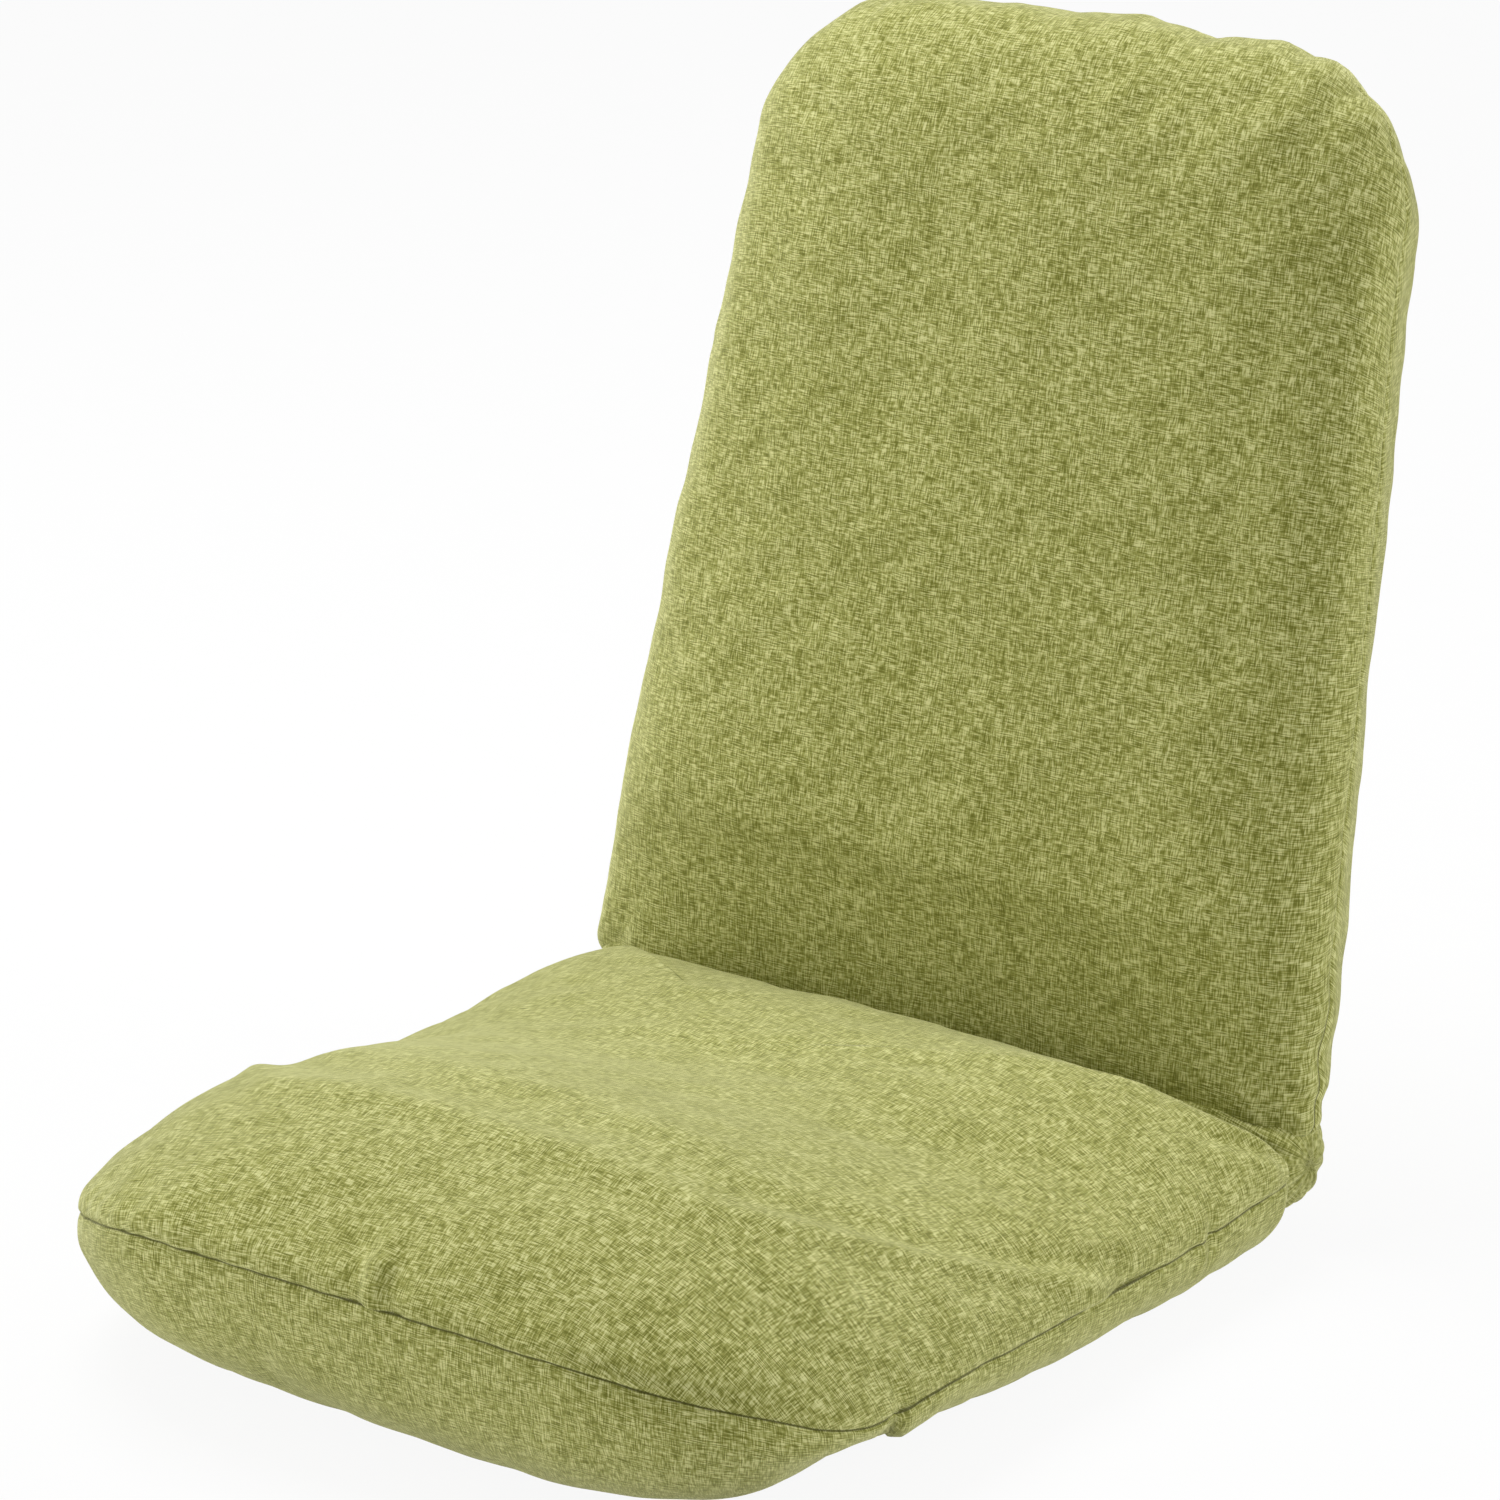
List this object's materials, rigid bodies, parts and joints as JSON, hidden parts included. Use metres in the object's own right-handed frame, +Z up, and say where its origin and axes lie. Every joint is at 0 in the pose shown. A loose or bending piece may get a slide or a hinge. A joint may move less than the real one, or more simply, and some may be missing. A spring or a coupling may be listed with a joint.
{
  "type": "floor chair",
  "caption": "Low padded floor chair without legs: a cloth-covered seat with a raised front and a tapered back that reclines in steps on two toothed hinges.",
  "frame": {"origin": "on the floor, under the middle of the seat's flat resting face", "axes": "+Z up, the chair faces -Y, +X is the sitter's left"},
  "size_m": [0.43, 0.6425, 0.5509],
  "materials": {
    "cloth": "heathered plain weave, matt",
    "foam": "open-cell foam",
    "sling": "woven plastic tape cloth",
    "zip": "woven tape with a plastic coil",
    "tube": "black enamel",
    "steel": "zinc-plated"
  },
  "bodies": {
    "seat": {"seat_frame": "tube", "seat_cross_bar": "tube", "seat_sling": "sling", "seat_foam": "foam", "seat_base_foam": "foam", "seat_top_cover": "cloth", "seat_base_cover": "cloth", "left_seat_arm": "steel", "right_seat_arm": "steel", "seat_arm_rivets": "steel", "hinge_cloth": "cloth"},
    "back": {"back_frame": "tube", "back_cross_bar": "tube", "back_sling": "sling", "back_foam": "foam", "back_rear_foam": "foam", "back_front_cover": "cloth", "back_rear_cover": "cloth", "left_inner_cheek": "steel", "left_outer_cheek": "steel", "right_inner_cheek": "steel", "right_outer_cheek": "steel", "hinge_pivots": "steel", "hinge_spacers": "steel", "back_tube_rivets": "steel", "pawl_pins": "steel", "left_pawl_spring": "steel", "right_pawl_spring": "steel", "zip_chain": "zip"},
    "left_release": {"left_release_plate": "steel"},
    "right_release": {"right_release_plate": "steel"},
    "left_pawl_body": {"left_pawl": "steel"},
    "right_pawl_body": {"right_pawl": "steel"},
    "slider": {"zip_slider": "steel"}
  },
  "joints": [
    {"name": "recline", "type": "hinge", "parent": "seat", "child": "back", "pos_m": [0, 0.22584, 0.05], "axis": [-1, 0, 0], "range_deg": [-30, 75], "deforming": ["hinge_cloth"]},
    {"name": "left_release_turn", "type": "hinge", "parent": "back", "child": "left_release", "pos_m": [0, 0.22584, 0.05], "axis": [1, 0, 0], "range_deg": [0, 12]},
    {"name": "right_release_turn", "type": "hinge", "parent": "back", "child": "right_release", "pos_m": [0, 0.22584, 0.05], "axis": [1, 0, 0], "range_deg": [0, 12]},
    {"name": "left_pawl_lift", "type": "hinge", "parent": "back", "child": "left_pawl_body", "pos_m": [0, 0.24147, 0.08515], "axis": [-1, 0, 0], "range_deg": [0, 9], "deforming": ["left_pawl_spring"]},
    {"name": "right_pawl_lift", "type": "hinge", "parent": "back", "child": "right_pawl_body", "pos_m": [0, 0.24147, 0.08515], "axis": [-1, 0, 0], "range_deg": [0, 9], "deforming": ["right_pawl_spring"]},
    {"name": "zip_run", "type": "slide", "parent": "back", "child": "slider", "axis": [1, 0, 0], "range_m": [0, 0.27]}
  ],
  "couplings": [
    {"joint": "right_release_turn", "follows": "left_release_turn", "ratio": 1},
    {"joint": "left_pawl_lift", "follows": "left_release_turn", "ratio": 0.75},
    {"joint": "right_pawl_lift", "follows": "left_release_turn", "ratio": 0.75}
  ]
}
